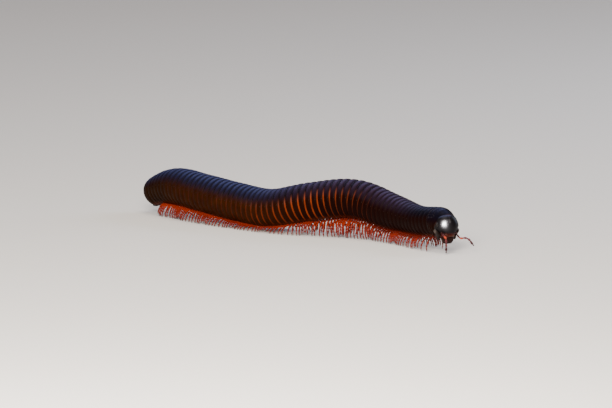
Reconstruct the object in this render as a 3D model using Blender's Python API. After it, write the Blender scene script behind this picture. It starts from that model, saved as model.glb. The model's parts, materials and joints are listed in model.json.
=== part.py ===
"""Life-size solid model of a Tanzanian red-legged millipede, walking in a shallow double bend.

The head points along -Y, +Z is up, and the feet stand on the plane z = 0.
The axis of the body is walked from the neck to the tail, one ring after another,
and every ring, leg and plate is placed from that axis.
"""
import math
import random

import bmesh
import bpy
from mathutils import Vector

MM = 0.001
GAP = 0.3 * MM

# The axis of the body. One row for every seventh ring, from the neck to past the tail, where
# it curves down: the turn of the heading towards the animal's right in degrees, then the
# height of the axis and the radius of the body, both in millimetres.
STATION_SPACING = 7
BODY_STATIONS = (
    (9.0, 9.6, 4.85),
    (17.0, 8.6, 4.75),
    (4.0, 9.7, 5.80),
    (-15.0, 12.4, 6.36),
    (-18.0, 10.45, 6.42),
    (-2.0, 7.3, 6.28),
    (1.0, 7.9, 6.30),
    (5.0, 9.2, 6.22),
    (12.5, 9.8, 5.90),
    (13.0, 5.75, 4.55),
    (13.0, -1.8, 3.0),
)
RING_PITCH = 2.24 * MM
WALK_STEPS_PER_RING = 10
NECK_X = -2.0 * MM
NECK_Y = -65.14 * MM

# Rings, counted along the axis from the neck.
COLLUM_RINGS = 1.5
LENGTH_COUNT = 10
RINGS_PER_LENGTH = 6
TRUNK_END = COLLUM_RINGS + LENGTH_COUNT * RINGS_PER_LENGTH
RING_SIDES = 20
RING_FRONT = (0.03, 0.955)
RING_REAR = (0.90, 1.0)
BELLY_FLAT = 0.92

# Legs: a pair on each of the first three rings, two pairs on each ring after them, and none
# on the last three.
SINGLE_PAIR_RINGS = 3
LEGLESS_RINGS = 3
RING_COUNT = LENGTH_COUNT * RINGS_PER_LENGTH
PAIR_PLACES = (0.24, 0.70)
LEG_HIP_OFFSET = 0.95 * MM
LEG_CHORD = 5.6 * MM
LEG_BOW = 1.4 * MM
LEG_REACH_LEAST = 2.2 * MM
LEG_SPREAD_PAST_SIDE = 0.3 * MM
LEG_KNEES = (0.38, 0.78)
LEG_THICKNESS = (0.75 * MM, 0.72 * MM, 0.6 * MM, 0.34 * MM)
LEG_ROOT_DEPTH = 0.9 * MM

# The wave of stepping legs: one wave runs over each length of the trunk.
SWING = 1.05 * MM
STEP_LIFT = 0.9 * MM
LEG_VARIATION = 0.06 * MM
LEG_SEED = 7

# Shield behind the head: place along the axis and share of the radius of its front outlines.
COLLUM_FRONT = ((0.0, 0.80), (0.3, 0.90), (0.75, 0.97))

# Tail: the last ring, its two anal valves and the scale under them. The rings are counted
# from the end of the trunk; a valve is a quarter of a dome over the given shares of its depth.
TELSON_RINGS = ((0.0, 0.98), (0.4, 0.975), (0.75, 0.92))
TELSON_SLANT = 0.3 * MM
VALVE_DEPTH = 2.1 * MM
VALVE_BASE = 0.82
VALVE_SHARES = (0.0, 0.35, 0.65, 0.88, 1.0)
VALVE_TIP = 0.14
SCALE_THICKNESS = 0.4 * MM
SCALE_DEPTH = 0.9 * MM
SCALE_STEP = 11.0

# Head, in millimetres in its own level frame: across to the right, forward, and up from a
# point in the neck. The head is turned further to the right than the neck and hangs below it.
# Rows of the capsule from the crown down to the lip: height, half width, and depth.
HEAD_TURN = 21.0
HEAD_HEIGHT = 9.2 * MM
HEAD_CENTRE_FORWARD = 0.9
CAPSULE_ROWS = (
    (3.15, 1.0, 1.0),
    (2.8, 2.2, 1.9),
    (2.0, 3.2, 2.75),
    (0.8, 3.8, 3.2),
    (-0.6, 4.05, 3.45),
    (-1.7, 3.85, 3.45),
    (-2.5, 3.4, 3.3),
    (-3.0, 3.0, 3.05),
    (-3.8, 2.55, 2.6),
)
HEAD_SIDES = 20

# Eye patches: angle from straight ahead in degrees and height, half sizes across and up,
# and how deep and how proud each lies, in millimetres.
EYE_PLACE = (68.0, 0.0)
EYE_HALF_SIZE = (0.55, 0.75)
EYE_SIDES = 10
EYE_SUNK = 0.3
EYE_PROUD = 0.2
EYE_BEVEL = 0.2

# Feelers: bends of each from its root to its tip, in the frame of the head, and the radius.
ANTENNA_RIGHT = ((2.75, 3.35, -2.45), (2.6, 4.3, -3.0), (2.15, 5.35, -3.9), (2.0, 5.5, -5.5),
                 (2.0, 5.5, -7.3), (2.0, 5.4, -8.8))
ANTENNA_LEFT = ((-2.75, 3.35, -2.45), (-3.5, 3.9, -4.3), (-5.1, 4.6, -4.3), (-6.2, 5.2, -4.9),
                (-7.0, 5.6, -6.1), (-7.6, 5.9, -6.9))
ANTENNA_RADII = (0.30, 0.36, 0.34, 0.34, 0.34, 0.22)
ANTENNA_SIDES = 6

# Mandible bases, which follow the sides of the capsule: rows of height and thickness in
# millimetres, then first and last angle from straight ahead. The chin plate under the mouth:
# rows of height, left and right edge, back and front, in the frame of the head.
CHEEK_OFF = 0.35
CHEEK_STEPS = 4
MANDIBLE_ROWS = (
    (-1.5, 0.15, 72.0, 90.0),
    (-2.2, 0.4, 62.0, 96.0),
    (-3.1, 0.5, 57.0, 98.0),
    (-4.2, 0.5, 66.0, 97.0),
    (-5.0, 0.35, 72.0, 90.0),
)
CHIN_ROWS = (
    (-4.1, -2.2, 2.2, 0.9, 3.4),
    (-5.2, -1.9, 1.9, 0.9, 3.2),
    (-6.2, -1.3, 1.3, 1.1, 2.5),
)
CORNER = 0.3

# Colours of the four finishes, and the least angle between faces that shows as an edge.
CUTICLE_COLOR = (0.018, 0.014, 0.016)
HEAD_COLOR = (0.012, 0.010, 0.013)
LEG_COLOR = (0.62, 0.12, 0.05)
EYE_COLOR = (0.006, 0.005, 0.006)
EDGE_ANGLE = 35.0


def clear_scene():
    """Remove every object that the file opens with."""
    for item in list(bpy.data.objects):
        bpy.data.objects.remove(item, do_unlink=True)


def make_material(name, color, roughness):
    """One plain surface colour."""
    material = bpy.data.materials.new(name)
    material.use_nodes = True
    shader = material.node_tree.nodes["Principled BSDF"]
    shader.inputs["Base Color"].default_value = (*color, 1.0)
    shader.inputs["Roughness"].default_value = roughness
    shader.inputs["Metallic"].default_value = 0.0
    return material


def station_value(ring, column):
    """Read one column of the stations at a ring number, along a smooth curve."""
    place = min(max(ring / STATION_SPACING, 0.0), len(BODY_STATIONS) - 1.000001)
    index = int(place)
    t = place - index
    rows = [min(max(index + step, 0), len(BODY_STATIONS) - 1) for step in (-1, 0, 1, 2)]
    before, start, end, after = (BODY_STATIONS[row][column] for row in rows)
    rise_start = (end - before) / 2
    rise_end = (after - start) / 2
    return (start * (1 + 2 * t) * (1 - t) ** 2 + rise_start * t * (1 - t) ** 2
            + end * t * t * (3 - 2 * t) - rise_end * t * t * (1 - t))


def axis_height(ring):
    """Height of the body's axis above the floor."""
    return station_value(ring, 1) * MM


def body_radius(ring):
    """Radius of the body's widest outline at a ring number."""
    return station_value(ring, 2) * MM


def heading_at(ring):
    """Level unit vector that points along the body towards the head."""
    turn = math.radians(station_value(ring, 0))
    return Vector((-math.sin(turn), -math.cos(turn), 0.0))


def walk_axis():
    """Points of the axis from the neck to past the tail, in even steps of a ring."""
    step = 1 / WALK_STEPS_PER_RING
    points = [Vector((NECK_X, NECK_Y, axis_height(0)))]
    count = (len(BODY_STATIONS) - 1) * STATION_SPACING * WALK_STEPS_PER_RING
    for index in range(count):
        ring = index * step
        rise = axis_height(ring + step) - axis_height(ring)
        level = math.sqrt((RING_PITCH * step) ** 2 - rise ** 2)
        point = points[-1] - heading_at(ring + step / 2) * level
        point.z = axis_height(ring + step)
        points.append(point)
    return points


AXIS_POINTS = walk_axis()


def axis_point(ring):
    """Point of the axis at a ring number, which may lie before the neck or past the tail."""
    place = ring * WALK_STEPS_PER_RING
    index = min(max(int(place), 0), len(AXIS_POINTS) - 2)
    return AXIS_POINTS[index].lerp(AXIS_POINTS[index + 1], place - index)


def body_frame(ring):
    """Axis point with the forward, right and up directions of the body there."""
    half = 0.5 / WALK_STEPS_PER_RING
    forward = (axis_point(ring - half) - axis_point(ring + half)).normalized()
    right = forward.cross(Vector((0.0, 0.0, 1.0))).normalized()
    return axis_point(ring), forward, right, right.cross(forward)


def ring_loop(ring, factor, back=0.0):
    """Outline of the body across its axis, with the belly a little flat."""
    point, forward, right, up = body_frame(ring)
    radius = body_radius(ring) * factor
    loop = []
    for index in range(RING_SIDES):
        angle = 2 * math.pi * index / RING_SIDES
        across = radius * math.sin(angle)
        height = max(radius * math.cos(angle), -BELLY_FLAT * radius)
        slant = back * (1 + math.cos(angle)) / 2
        loop.append(point + right * across + up * height - forward * slant)
    return loop


def loft(name, loops, material=None):
    """One closed skin over a row of closed loops, with a flat face at each end."""
    shape = bmesh.new()
    rows = [[shape.verts.new(point) for point in loop] for loop in loops]
    sides = len(rows[0])
    for row, following in zip(rows, rows[1:]):
        for index in range(sides):
            after = (index + 1) % sides
            shape.faces.new((row[index], row[after], following[after], following[index]))
    shape.faces.new(rows[0])
    shape.faces.new(rows[-1])
    bmesh.ops.triangulate(shape, faces=shape.faces[:])
    bmesh.ops.recalc_face_normals(shape, faces=shape.faces[:])
    mesh = bpy.data.meshes.new(name)
    shape.to_mesh(mesh)
    shape.free()
    piece = bpy.data.objects.new(name, mesh)
    if material:
        mesh.materials.append(material)
    bpy.context.scene.collection.objects.link(piece)
    return piece


def keep_largest_surface(mesh):
    """Keep only the closed surface with the most faces."""
    shape = bmesh.new()
    shape.from_mesh(mesh)
    shape.faces.ensure_lookup_table()
    waiting = set(shape.faces)
    surfaces = []
    while waiting:
        found = {waiting.pop()}
        edge_of_search = list(found)
        while edge_of_search:
            face = edge_of_search.pop()
            for edge in face.edges:
                for other in edge.link_faces:
                    if other in waiting:
                        waiting.remove(other)
                        found.add(other)
                        edge_of_search.append(other)
        surfaces.append(found)
    surfaces.sort(key=len)
    extra = [face for surface in surfaces[:-1] for face in surface]
    bmesh.ops.delete(shape, geom=extra, context='FACES')
    shape.to_mesh(mesh)
    shape.free()


def fuse(core, additions):
    """Join closed pieces to a core with one union, and leave one closed body."""
    group = bpy.data.collections.new("additions")
    bpy.context.scene.collection.children.link(group)
    for addition in additions:
        bpy.context.scene.collection.objects.unlink(addition)
        group.objects.link(addition)
    union = core.modifiers.new("union", 'BOOLEAN')
    union.operation = 'UNION'
    union.operand_type = 'COLLECTION'
    union.collection = group
    union.solver = 'EXACT'
    evaluated = core.evaluated_get(bpy.context.evaluated_depsgraph_get())
    joined = bpy.data.meshes.new_from_object(evaluated)
    core.modifiers.clear()
    core.data = joined
    for addition in additions:
        bpy.data.objects.remove(addition, do_unlink=True)
    bpy.data.collections.remove(group)
    keep_largest_surface(joined)


def leg_stations(ring, side, swing=0.0, lift=0.0):
    """Places along a leg from inside the belly to the foot.

    Each is a point, the direction square to the leg away from the body, and the
    direction along the body.
    """
    point, forward, right, up = body_frame(ring)
    level = Vector((forward.x, forward.y, 0.0)).normalized()
    radius = body_radius(ring)
    hip = point + right * side * LEG_HIP_OFFSET - up * BELLY_FLAT * radius
    reach = math.sqrt(max(LEG_CHORD ** 2 - hip.z ** 2, LEG_REACH_LEAST ** 2))
    reach = min(reach, radius + LEG_SPREAD_PAST_SIDE - LEG_HIP_OFFSET)
    foot = Vector((hip.x, hip.y, lift)) + right * side * reach + level * swing
    chord = foot - hip
    bow = (right * side * hip.z + Vector((0.0, 0.0, reach))) / LEG_CHORD * LEG_BOW
    clear = radius + GAP + LEG_THICKNESS[1] / 2
    places = [hip + up * LEG_ROOT_DEPTH]
    for share in LEG_KNEES:
        place = hip + chord * share + bow * math.sin(math.pi * share)
        offset = place - point
        along = forward * offset.dot(forward)
        square = offset - along
        if square.length < clear:
            place = point + along + square.normalized() * clear
        place.z = max(place.z, LEG_THICKNESS[1] / 2)
        places.append(place)
    places.append(foot)
    stations = []
    for index, place in enumerate(places):
        before = places[max(index - 1, 0)]
        after = places[min(index + 1, len(places) - 1)]
        outward = (after - before).cross(level).normalized() * side
        if index == len(places) - 1:
            outward = right * side
        if outward.dot(right) * side < 0:
            outward = -outward
        stations.append((place, outward, level))
    return stations


def leg(name, ring, side, swing, lift):
    """One leg: a four-sided bent and tapered rod with a small flat foot."""
    loops = []
    for (place, outward, along), width in zip(leg_stations(ring, side, swing, lift),
                                              LEG_THICKNESS):
        half = width / 2
        loops.append([place + outward * half + along * half,
                      place + outward * half - along * half,
                      place - outward * half - along * half,
                      place - outward * half + along * half])
    return loft(name, loops)


def leg_places(ring_number):
    """Places of the leg pairs within a ring, as shares of its length."""
    if ring_number >= RING_COUNT - LEGLESS_RINGS:
        return ()
    if ring_number < SINGLE_PAIR_RINGS:
        return (sum(PAIR_PLACES) / len(PAIR_PLACES),)
    return PAIR_PLACES


def build_legs(first_ring, draw):
    """The legs of one length, swung and lifted in a wave that opens at both its ends."""
    start = COLLUM_RINGS + first_ring
    legs = []
    for step in range(RINGS_PER_LENGTH):
        for share in leg_places(first_ring + step):
            phase = 2 * math.pi * (step + share) / RINGS_PER_LENGTH
            lift = STEP_LIFT * max(0.0, -math.cos(phase)) ** 2
            for side in (-1, 1):
                swing = -SWING * math.sin(phase) + draw.uniform(-LEG_VARIATION, LEG_VARIATION)
                name = f"leg_{first_ring + step}_{share}_{side}"
                legs.append(leg(name, start + step + share, side, swing, lift))
    return legs


def build_trunk(material):
    """Ten lengths of the trunk, each a row of rings with its legs."""
    trim = GAP / 2 / RING_PITCH
    draw = random.Random(LEG_SEED)
    for index in range(LENGTH_COUNT):
        first_ring = index * RINGS_PER_LENGTH
        start = COLLUM_RINGS + first_ring
        end = start + RINGS_PER_LENGTH
        loops = []
        for step in range(RINGS_PER_LENGTH):
            for share, factor in (RING_FRONT, RING_REAR):
                ring = max(start + step + share, start + trim)
                loops.append(ring_loop(ring, factor))
        loops.append(ring_loop(end - trim, RING_REAR[1]))
        length = loft(f"trunk_{index + 1:02d}", loops, material)
        fuse(length, build_legs(first_ring, draw))


def build_collum(material):
    """Shield-like first ring behind the head."""
    trim = GAP / 2 / RING_PITCH
    rows = COLLUM_FRONT + ((COLLUM_RINGS - trim, 1.0),)
    loops = [ring_loop(ring, factor) for ring, factor in rows]
    loft("collum", loops, material)


def dome_loop(depth, factor, side):
    """Half outline across the tail for one valve, flat along the middle plane."""
    ring = TRUNK_END + TELSON_RINGS[-1][0]
    point, forward, right, up = body_frame(ring)
    radius = body_radius(ring) * factor
    loop = []
    steps = RING_SIDES // 2
    for index in range(steps + 1):
        angle = math.pi * index / steps
        across = GAP / 2 + radius * math.sin(angle)
        height = radius * math.cos(angle)
        slant = TELSON_SLANT * (1 + math.cos(angle)) / 2
        loop.append(point + right * side * across + up * height - forward * (depth + slant))
    return loop


def build_tail(material):
    """Last ring, two valves that close the gut, and the scale below them."""
    trim = GAP / 2 / RING_PITCH
    loops = []
    for index, (offset, factor) in enumerate(TELSON_RINGS):
        ring = TRUNK_END + max(offset, trim)
        loops.append(ring_loop(ring, factor, TELSON_SLANT * index / 2))
    loft("telson", loops, material)
    for name, side in (("anal_valve_right", 1), ("anal_valve_left", -1)):
        loops = []
        for share in VALVE_SHARES:
            factor = VALVE_BASE * math.sqrt(max(1 - share ** 2, VALVE_TIP ** 2))
            loops.append(dome_loop(GAP + VALVE_DEPTH * share, factor, side))
        loft(name, loops, material)
    ring = TRUNK_END + TELSON_RINGS[-1][0]
    point, forward, right, up = body_frame(ring)
    inner = body_radius(ring) * VALVE_BASE + GAP
    outer = inner + SCALE_THICKNESS
    loops = []
    for depth in (GAP, SCALE_DEPTH):
        loop = []
        for radius, order in ((outer, (-2, -1, 0, 1, 2)), (inner, (2, 1, 0, -1, -2))):
            for step in order:
                angle = math.radians(SCALE_STEP * step)
                loop.append(point + right * radius * math.sin(angle)
                            - up * radius * math.cos(angle) - forward * depth)
        loops.append(loop)
    loft("subanal_scale", loops, material)


def head_point(across, forward, up):
    """Point given in millimetres in the frame of the head."""
    turn = math.radians(HEAD_TURN)
    ahead = Vector((-math.sin(turn), -math.cos(turn), 0.0))
    right = ahead.cross(Vector((0.0, 0.0, 1.0)))
    neck = axis_point(0)
    return (Vector((neck.x, neck.y, HEAD_HEIGHT + up * MM)) + right * across * MM
            + ahead * forward * MM)


def before_neck(point):
    """The point itself, or the nearest point in front of the neck's gap."""
    neck, forward, _, _ = body_frame(0)
    short = GAP - (point - neck).dot(forward)
    return point + forward * max(short, 0.0)


def capsule_size(height):
    """Half width and depth of the head capsule at a height."""
    for upper, lower in zip(CAPSULE_ROWS, CAPSULE_ROWS[1:]):
        if upper[0] >= height >= lower[0]:
            share = (upper[0] - height) / (upper[0] - lower[0])
            return [start + (end - start) * share for start, end in zip(upper[1:], lower[1:])]
    return CAPSULE_ROWS[-1][1:]


def capsule_point(degrees, height, proud=0.0):
    """Point on the head capsule, at an angle from straight ahead towards the right."""
    half_width, depth = capsule_size(height)
    angle = math.radians(degrees)
    return head_point((half_width + proud) * math.sin(angle),
                      HEAD_CENTRE_FORWARD + (depth + proud) * math.cos(angle), height)


def eye_loop(side, proud, grow):
    """Oval outline of an eye patch on the side of the capsule."""
    middle, height = EYE_PLACE
    reach = math.degrees(1 / capsule_size(height)[0])
    loop = []
    for step in range(EYE_SIDES):
        angle = 2 * math.pi * step / EYE_SIDES
        degrees = middle + (EYE_HALF_SIZE[0] + grow) * reach * math.cos(angle)
        loop.append(capsule_point(side * degrees,
                                  height + (EYE_HALF_SIZE[1] + grow) * math.sin(angle), proud))
    return loop


def build_head(material, eye_material):
    """Domed head capsule down to the lip, with an eye patch sunk in each side."""
    loops = []
    for height, _, _ in CAPSULE_ROWS:
        loops.append([before_neck(capsule_point(360.0 * step / HEAD_SIDES, height))
                      for step in range(HEAD_SIDES)])
    head = loft("head", loops, material)
    gap = GAP / MM
    for name, side in (("eye_right", 1), ("eye_left", -1)):
        loft(name, [eye_loop(side, -EYE_SUNK, 0.0), eye_loop(side, EYE_PROUD - EYE_BEVEL / 2, 0.0),
                    eye_loop(side, EYE_PROUD, -EYE_BEVEL)], eye_material)
        pocket = loft("pocket", [eye_loop(side, -EYE_SUNK - gap, gap),
                                 eye_loop(side, 1.0, gap)])
        cut = head.modifiers.new("pocket", 'BOOLEAN')
        cut.operation = 'DIFFERENCE'
        cut.solver = 'EXACT'
        cut.object = pocket
        evaluated = head.evaluated_get(bpy.context.evaluated_depsgraph_get())
        carved = bpy.data.meshes.new_from_object(evaluated)
        head.modifiers.clear()
        head.data = carved
        bpy.data.objects.remove(pocket, do_unlink=True)


def tube(name, points, radii, sides, material):
    """Round tapered tube along a few points."""
    loops = []
    for index, point in enumerate(points):
        before = points[max(index - 1, 0)]
        after = points[min(index + 1, len(points) - 1)]
        along = (after - before).normalized()
        across = along.cross(Vector((0.0, 1.0, 0.0))).normalized()
        other = along.cross(across)
        loop = []
        for step in range(sides):
            angle = 2 * math.pi * step / sides
            loop.append(point + (across * math.cos(angle) + other * math.sin(angle))
                        * radii[index])
        loops.append(loop)
    return loft(name, loops, material)


def build_antennae(material):
    """Two bent feelers."""
    for name, points in (("antenna_right", ANTENNA_RIGHT), ("antenna_left", ANTENNA_LEFT)):
        places = [head_point(*point) for point in points]
        tube(name, places, [radius * MM for radius in ANTENNA_RADII],
             ANTENNA_SIDES, material)


def cheek_loops(side):
    """Outlines of a mandible base, a curved plate off the side of the capsule."""
    loops = []
    for height, thickness, first, last in MANDIBLE_ROWS:
        loop = []
        for proud, start, end in ((CHEEK_OFF + thickness, first, last), (CHEEK_OFF, last, first)):
            for step in range(CHEEK_STEPS + 1):
                degrees = start + (end - start) * step / CHEEK_STEPS
                loop.append(before_neck(capsule_point(side * degrees, height, proud)))
        loops.append(loop)
    return loops


def chin_loops():
    """Oblong outlines of the chin plate, with cut corners."""
    loops = []
    for height, left, right, back, front in CHIN_ROWS:
        cut_across = (right - left) * CORNER
        cut_ahead = (front - back) * CORNER
        corners = ((left, back + cut_ahead), (left + cut_across, back),
                   (right - cut_across, back), (right, back + cut_ahead),
                   (right, front - cut_ahead), (right - cut_across, front),
                   (left + cut_across, front), (left, front - cut_ahead))
        loops.append([before_neck(head_point(across, ahead, height))
                      for across, ahead in corners])
    return loops


def build_mouth(material):
    """Bases of the mandibles beside the head, and the plate of the lower lip."""
    loft("mandible_right", cheek_loops(1), material)
    loft("mandible_left", cheek_loops(-1), material)
    loft("gnathochilarium", chin_loops(), material)


def shade_round():
    """Shade every curved surface smooth and keep real edges crisp."""
    for piece in bpy.data.objects:
        piece.data.shade_smooth()
        piece.data.set_sharp_from_angle(angle=math.radians(EDGE_ANGLE))


clear_scene()
cuticle = make_material("cuticle", CUTICLE_COLOR, 0.35)
head_cuticle = make_material("head_cuticle", HEAD_COLOR, 0.18)
leg_cuticle = make_material("leg_cuticle", LEG_COLOR, 0.4)
eye_cuticle = make_material("eye_cuticle", EYE_COLOR, 0.2)
build_head(head_cuticle, eye_cuticle)
build_antennae(leg_cuticle)
build_mouth(head_cuticle)
build_collum(cuticle)
build_trunk(cuticle)
build_tail(cuticle)
shade_round()
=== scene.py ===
import json
import math
import random

import bmesh
import bpy
from mathutils import Matrix, Vector

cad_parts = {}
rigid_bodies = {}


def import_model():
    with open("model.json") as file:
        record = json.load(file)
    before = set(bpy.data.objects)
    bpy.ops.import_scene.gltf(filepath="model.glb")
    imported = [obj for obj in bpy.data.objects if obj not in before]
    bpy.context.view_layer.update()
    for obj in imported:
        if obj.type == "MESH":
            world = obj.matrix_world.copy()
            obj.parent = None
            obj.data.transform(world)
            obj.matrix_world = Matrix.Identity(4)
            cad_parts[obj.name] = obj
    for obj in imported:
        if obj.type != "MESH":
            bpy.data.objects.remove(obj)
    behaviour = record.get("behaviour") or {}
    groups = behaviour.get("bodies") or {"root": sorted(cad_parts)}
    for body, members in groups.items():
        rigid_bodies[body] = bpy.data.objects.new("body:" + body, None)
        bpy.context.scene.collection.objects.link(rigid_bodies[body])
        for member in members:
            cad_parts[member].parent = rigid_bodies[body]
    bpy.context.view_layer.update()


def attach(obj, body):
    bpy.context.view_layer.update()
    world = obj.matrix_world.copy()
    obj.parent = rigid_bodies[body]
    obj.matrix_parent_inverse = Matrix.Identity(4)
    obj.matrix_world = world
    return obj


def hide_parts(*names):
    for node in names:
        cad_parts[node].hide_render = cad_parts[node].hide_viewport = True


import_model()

# Floor, camera and light.
# A plain pale floor in a soft studio light. The camera stands low over the floor in front of
# the animal's right shoulder, as in the photograph, and looks at it through a long lens.
MM = 0.001
VIEW_TARGET = Vector((-3.45, -4.15, 9.96)) * MM
VIEW_AZIMUTH = -45.0
VIEW_ELEVATION = 7.5
VIEW_DISTANCE = 5.45
VIEW_LENS = 1000.0
FLOOR_RADIUS = 14.0
FLOOR_SIDES = 96
studio = bpy.context.scene.collection.objects
# Azimuth, elevation, distance, width, height, power and tint. The gleam lamp lights only the
# gloss of the head, and the sky lamp leaves out the floor.
LAMPS = (
    ("key", -52.0, 24.0, 0.7, 0.3, 0.3, 7.6, (1.0, 0.9, 0.78)),
    ("sky", 140.0, 62.0, 0.6, 0.7, 0.7, 7.5, (0.42, 0.48, 1.0)),
    ("over", -40.0, 80.0, 0.7, 0.5, 0.5, 2.4, (1.0, 0.9, 0.78)),
    ("fill", 75.0, 22.0, 0.7, 0.5, 0.5, 2.4, (0.7, 0.8, 1.0)),
    ("gleam", -44.0, 17.0, 0.7, 0.4, 0.17, 280.0, (1.0, 0.92, 0.96)),
)


def look_from(item, azimuth, elevation, distance):
    """Put a lamp or the camera in the room and turn it to the animal."""
    turn = math.radians(azimuth)
    rise = math.radians(elevation)
    item.location = VIEW_TARGET + distance * Vector((
        math.sin(turn) * math.cos(rise), -math.cos(turn) * math.cos(rise), math.sin(rise)))
    item.rotation_euler = (VIEW_TARGET - item.location).to_track_quat('-Z', 'Y').to_euler()
    studio.link(item)


view = bpy.data.cameras.new("view")
view.lens = VIEW_LENS
camera = bpy.data.objects.new("camera", view)
look_from(camera, VIEW_AZIMUTH, VIEW_ELEVATION, VIEW_DISTANCE)
bpy.context.scene.camera = camera

LIT_BY = {name: bpy.data.collections.new("lit_by_" + name) for name in ("sky", "gleam")}
for name, azimuth, elevation, distance, width, height, power, tint in LAMPS:
    lamp = bpy.data.lights.new(name, 'AREA')
    lamp.shape = 'ELLIPSE'
    lamp.size = width
    lamp.size_y = height
    lamp.energy = power
    lamp.color = tint
    stand = bpy.data.objects.new(name, lamp)
    stand.visible_diffuse = name != "gleam"
    if name in LIT_BY:
        stand.light_linking.receiver_collection = LIT_BY[name]
    look_from(stand, azimuth, elevation, distance)

room = bpy.data.worlds.new("room")
room.use_nodes = True
air = room.node_tree.nodes["Background"].inputs
air["Color"].default_value = (0.86, 0.78, 0.76, 1.0)
air["Strength"].default_value = 0.3
bpy.context.scene.world = room

floor_shape = bmesh.new()
bmesh.ops.create_circle(floor_shape, cap_ends=True, segments=FLOOR_SIDES,
                        radius=FLOOR_RADIUS)
floor_mesh = bpy.data.meshes.new("floor")
floor_shape.to_mesh(floor_mesh)
floor_shape.free()
floor_finish = bpy.data.materials.new("floor")
floor_finish.use_nodes = True
floor_shader = floor_finish.node_tree.nodes["Principled BSDF"].inputs
floor_shader["Base Color"].default_value = (0.93, 0.93, 0.93, 1.0)
floor_shader["Roughness"].default_value = 0.85
floor_shader["Specular IOR Level"].default_value = 0.0
floor_mesh.materials.append(floor_finish)
floor = bpy.data.objects.new("floor", floor_mesh)
studio.link(floor)
LIT_BY["sky"].objects.link(floor)
LIT_BY["sky"].collection_objects[0].light_linking.link_state = 'EXCLUDE'

# Soft tube of joint skin.
# Under the hard rings the animal is one soft, leathery tube, dark red-brown. It shows only in
# the slits between rings, where the body bends, and round the neck and the last ring.
STATION_SPACING = 7
# Turn in degrees, height and radius in millimetres of the body, at every seventh ring.
BODY_STATIONS = (
    (9.0, 9.6, 4.85), (17.0, 8.6, 4.75), (4.0, 9.7, 5.8), (-15.0, 12.4, 6.36),
    (-18.0, 10.45, 6.42), (-2.0, 7.3, 6.28), (1.0, 7.9, 6.3), (5.0, 9.2, 6.22),
    (12.5, 9.8, 5.9), (13.0, 5.75, 4.55), (13.0, -1.8, 3.0),
)
RING_PITCH = 2.24 * MM
STEPS_PER_RING = 10
NECK = (-2.0 * MM, -65.14 * MM)
BELLY_FLAT = 0.92
COLLUM_RINGS = 1.5
RING_COUNT = 60
TRUNK_END = COLLUM_RINGS + RING_COUNT
SKIN_START = 0.4
SKIN_STEP = 0.25
SKIN_ROWS = 248
SKIN_SIDES = 40
SKIN_FACTOR = 0.885
ABOVE = Vector((0.0, 0.0, 1.0))


def smooth_between(rows, place):
    """Value at a place along evenly spaced rows, on a smooth curve through them all."""
    index = min(int(place), len(rows) - 2)
    t = place - index
    before, start, end, after = (rows[min(max(index + step, 0), len(rows) - 1)]
                                 for step in (-1, 0, 1, 2))
    return (start * (1 + 2 * t) * (1 - t) ** 2 + (end - before) / 2 * t * (1 - t) ** 2
            + end * t * t * (3 - 2 * t) - (after - start) / 2 * t * t * (1 - t))


def station_value(ring, column):
    """Turn in degrees, height or radius in millimetres of the body at a ring number."""
    place = min(max(ring / STATION_SPACING, 0.0), len(BODY_STATIONS) - 1.000001)
    return smooth_between([station[column] for station in BODY_STATIONS], place)


def walk_axis():
    """Points of the body's axis from the neck to past the tail."""
    step = 1 / STEPS_PER_RING
    points = [Vector((*NECK, station_value(0, 1) * MM))]
    for index in range((len(BODY_STATIONS) - 1) * STATION_SPACING * STEPS_PER_RING):
        ring = index * step
        height = station_value(ring + step, 1) * MM
        level = math.sqrt((RING_PITCH * step) ** 2 - (height - points[-1].z) ** 2)
        turn = math.radians(station_value(ring + step / 2, 0))
        points.append(Vector((points[-1].x + math.sin(turn) * level,
                              points[-1].y + math.cos(turn) * level, height)))
    return points


AXIS_POINTS = walk_axis()


def axis_point(ring):
    """Point of the axis at a ring number, past its ends too."""
    place = ring * STEPS_PER_RING
    index = min(max(int(place), 0), len(AXIS_POINTS) - 2)
    return AXIS_POINTS[index].lerp(AXIS_POINTS[index + 1], place - index)


def body_radius(ring):
    """Radius of the body at a ring number, in metres."""
    return station_value(ring, 2) * MM


def body_frame(ring):
    """Axis point with the forward, right and up directions of the body there."""
    half = 0.5 / STEPS_PER_RING
    forward = (axis_point(ring - half) - axis_point(ring + half)).normalized()
    right = forward.cross(ABOVE).normalized()
    return axis_point(ring), forward, right, right.cross(forward)


def turns(sides):
    """Angles of the points of a round outline, from its top or from straight ahead."""
    return [2 * math.pi * index / sides for index in range(sides)]


def from_top(angle):
    """How far round an angle is, from 0 on top to 1 below."""
    return min(angle, 2 * math.pi - angle) / math.pi


def body_spot(ring, factor, angle, slant=0.0):
    """Point round the body at a share of its radius, leaning back at the top."""
    point, forward, right, up = body_frame(ring)
    radius = body_radius(ring) * factor
    height = max(radius * math.cos(angle), -BELLY_FLAT * radius)
    return (point + right * radius * math.sin(angle) + up * height
            - forward * slant * (1 + math.cos(angle)) / 2)


def body_row(ring, factor, sides, slant=0.0):
    """Outline across the body; the value of each point is how far round it is."""
    return [(body_spot(ring, factor, angle, slant), (0.0, from_top(angle), 0.0))
            for angle in turns(sides)]


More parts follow.
